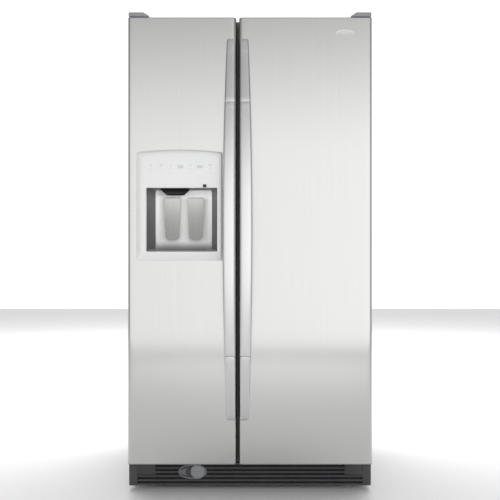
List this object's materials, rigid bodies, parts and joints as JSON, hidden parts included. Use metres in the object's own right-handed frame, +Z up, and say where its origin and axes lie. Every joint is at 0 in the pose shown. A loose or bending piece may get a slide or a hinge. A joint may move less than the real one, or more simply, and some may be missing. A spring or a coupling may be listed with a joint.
{
  "type": "side by side refrigerator",
  "caption": "Tall two-door refrigerator and freezer with bowed bar handles meeting at the centre gap, an ice and water dispenser in the left door, a base grille and a front water filter.",
  "frame": {"origin": "on the floor under the middle of the whole object", "axes": "+Z up, -Y out through the doors towards the user, +X to the right of a person facing the doors"},
  "size_m": [0.908, 0.85, 1.781],
  "materials": {
    "cabinet_paint": "textured grey enamel",
    "stainless": "vertical brushed grain, clear coat",
    "stainless_bar": "satin, lengthwise grain",
    "grey_trim": "moulded satin grey plastic",
    "dark_trim": "moulded black plastic",
    "bezel_white": "moulded satin pale plastic",
    "recess_grey": "moulded satin grey plastic",
    "key_grey": "moulded satin plastic",
    "lever_grey": "ribbed satin grey plastic",
    "liner_white": "thermoformed white plastic",
    "foam": "foamed in place, open cells",
    "seal": "soft grey extrusion",
    "bare_steel": "zinc plated sheet",
    "tyre_grey": "moulded nylon",
    "hinge_black": "dark enamelled steel",
    "compressor_black": "black enamel",
    "coil_black": "black painted tube",
    "fan_plastic": "moulded plastic",
    "clear_glass": "tempered, polished edge",
    "frame_white": "moulded white plastic",
    "wire_white": "white vinyl coated wire",
    "clear_plastic": "clear styrene",
    "filter_white": "moulded white plastic"
  },
  "bodies": {
    "cabinet": {"base_frame": "bare_steel", "base_grille": "dark_trim", "cabinet_foam": "foam", "cabinet_wrapper": "cabinet_paint", "compressor": "compressor_black", "condenser": "coil_black", "control_housing": "frame_white", "door_hinges": "hinge_black", "filter_housing": "grey_trim", "freezer_liner": "liner_white", "freezer_shelves": "wire_white", "fridge_liner": "liner_white", "hinge_covers": "grey_trim", "ice_maker": "frame_white", "machine_cover": "bare_steel", "mullion_rail": "cabinet_paint", "rear_panel": "bare_steel", "shelf_frames": "frame_white", "shelf_glass": "clear_glass", "water_valve": "filter_white"},
    "freezer_door": {"dispenser_backplate": "bezel_white", "dispenser_bezel": "bezel_white", "dispenser_recess": "recess_grey", "freezer_door_bins": "clear_plastic", "freezer_door_caps": "grey_trim", "freezer_door_foam": "foam", "freezer_door_liner": "liner_white", "freezer_door_skin": "stainless", "freezer_gasket": "seal", "freezer_handle_ends": "stainless_bar", "freezer_handle_grip": "stainless_bar", "ice_chute": "dark_trim"},
    "fridge_door": {"fridge_door_bins": "clear_plastic", "fridge_door_caps": "grey_trim", "fridge_door_foam": "foam", "fridge_door_liner": "liner_white", "fridge_door_skin": "stainless", "fridge_gasket": "seal", "fridge_handle_ends": "stainless_bar", "fridge_handle_grip": "stainless_bar"},
    "ice_paddle": {"ice_paddle": "lever_grey"},
    "water_paddle": {"water_paddle": "lever_grey"},
    "lock_key": {"lock_key": "key_grey"},
    "select_key": {"select_key": "key_grey"},
    "light_key": {"light_key": "dark_trim"},
    "filter_cartridge": {"filter_cartridge": "filter_white"},
    "filter_cap": {"filter_cap": "dark_trim"},
    "filter_eject_button": {"filter_eject_button": "dark_trim"},
    "front_rollers": {"front_rollers": "tyre_grey"},
    "rear_rollers": {"rear_rollers": "tyre_grey"},
    "left_leveling_leg": {"left_leveling_leg": "bare_steel"},
    "right_leveling_leg": {"right_leveling_leg": "bare_steel"},
    "crisper_drawer": {"crisper_drawer": "clear_plastic"},
    "deli_drawer": {"deli_drawer": "clear_plastic"},
    "freezer_basket": {"freezer_basket": "clear_plastic"},
    "ice_bin": {"ice_bin": "clear_plastic"},
    "fridge_control_knob": {"fridge_control_knob": "key_grey"},
    "freezer_control_knob": {"freezer_control_knob": "key_grey"},
    "condenser_fan": {"condenser_fan": "fan_plastic"},
    "dairy_lid": {"dairy_lid": "clear_plastic"}
  },
  "joints": [
    {"name": "freezer_door_hinge", "type": "hinge", "parent": "cabinet", "child": "freezer_door", "pos_m": [-0.434, -0.34, 0.88], "axis": [0, 0, -1], "range_deg": [0, 130]},
    {"name": "fridge_door_hinge", "type": "hinge", "parent": "cabinet", "child": "fridge_door", "pos_m": [0.434, -0.34, 0.88], "axis": [0, 0, 1], "range_deg": [0, 130]},
    {"name": "ice_paddle_swing", "type": "hinge", "parent": "freezer_door", "child": "ice_paddle", "pos_m": [-0.292, -0.301, 1.094], "axis": [1, 0, 0], "range_deg": [0, 12], "stiffness_Nm_per_rad": 1.2, "springref_deg": -6.88},
    {"name": "water_paddle_swing", "type": "hinge", "parent": "freezer_door", "child": "water_paddle", "pos_m": [-0.204, -0.301, 1.094], "axis": [1, 0, 0], "range_deg": [0, 12], "stiffness_Nm_per_rad": 1.2, "springref_deg": -6.88},
    {"name": "lock_key_press", "type": "slide", "parent": "freezer_door", "child": "lock_key", "axis": [0, 1, 0], "range_m": [0, 0.001], "stiffness_N_per_m": 900, "springref_m": -0.001},
    {"name": "select_key_press", "type": "slide", "parent": "freezer_door", "child": "select_key", "axis": [0, 1, 0], "range_m": [0, 0.001], "stiffness_N_per_m": 900, "springref_m": -0.001},
    {"name": "light_key_press", "type": "slide", "parent": "freezer_door", "child": "light_key", "axis": [0, 1, 0], "range_m": [0, 0.001], "stiffness_N_per_m": 900, "springref_m": -0.001},
    {"name": "filter_pull", "type": "slide", "parent": "cabinet", "child": "filter_cartridge", "axis": [0, -1, 0], "range_m": [0, 0.27]},
    {"name": "filter_cap_turn", "type": "hinge", "parent": "filter_cartridge", "child": "filter_cap", "pos_m": [-0.196, -0.326, 0.066], "axis": [0, 1, 0], "range_deg": [0, 90]},
    {"name": "filter_eject_press", "type": "slide", "parent": "cabinet", "child": "filter_eject_button", "axis": [0, 1, 0], "range_m": [0, 0.005], "stiffness_N_per_m": 500, "springref_m": -0.002},
    {"name": "front_rollers_spin", "type": "hinge", "parent": "cabinet", "child": "front_rollers", "pos_m": [0, -0.235, 0.022], "axis": [1, 0, 0], "continuous": true},
    {"name": "rear_rollers_spin", "type": "hinge", "parent": "cabinet", "child": "rear_rollers", "pos_m": [0, 0.385, 0.022], "axis": [1, 0, 0], "continuous": true},
    {"name": "left_leveling_leg_turn", "type": "hinge", "parent": "cabinet", "child": "left_leveling_leg", "pos_m": [-0.368, -0.272, 0.031], "axis": [0, 0, 1], "continuous": true},
    {"name": "right_leveling_leg_turn", "type": "hinge", "parent": "cabinet", "child": "right_leveling_leg", "pos_m": [0.368, -0.272, 0.031], "axis": [0, 0, 1], "continuous": true},
    {"name": "crisper_drawer_pull", "type": "slide", "parent": "cabinet", "child": "crisper_drawer", "axis": [0, -1, 0], "range_m": [0, 0.074]},
    {"name": "deli_drawer_pull", "type": "slide", "parent": "cabinet", "child": "deli_drawer", "axis": [0, -1, 0], "range_m": [0, 0.074]},
    {"name": "freezer_basket_pull", "type": "slide", "parent": "cabinet", "child": "freezer_basket", "axis": [0, -1, 0], "range_m": [0, 0.074]},
    {"name": "ice_bin_pull", "type": "slide", "parent": "cabinet", "child": "ice_bin", "axis": [0, -1, 0], "range_m": [0, 0.074]},
    {"name": "fridge_control_turn", "type": "hinge", "parent": "cabinet", "child": "fridge_control_knob", "pos_m": [0.08425, -0.15, 1.678], "axis": [0, 1, 0], "range_deg": [-120, 120]},
    {"name": "freezer_control_turn", "type": "hinge", "parent": "cabinet", "child": "freezer_control_knob", "pos_m": [0.30425, -0.15, 1.678], "axis": [0, 1, 0], "range_deg": [-120, 120]},
    {"name": "condenser_fan_spin", "type": "hinge", "parent": "cabinet", "child": "condenser_fan", "pos_m": [-0.09, 0.31, 0.125], "axis": [1, 0, 0], "continuous": true},
    {"name": "dairy_lid_lift", "type": "hinge", "parent": "fridge_door", "child": "dairy_lid", "pos_m": [0.19425, -0.209, 1.539], "axis": [1, 0, 0], "range_deg": [0, 95]}
  ]
}
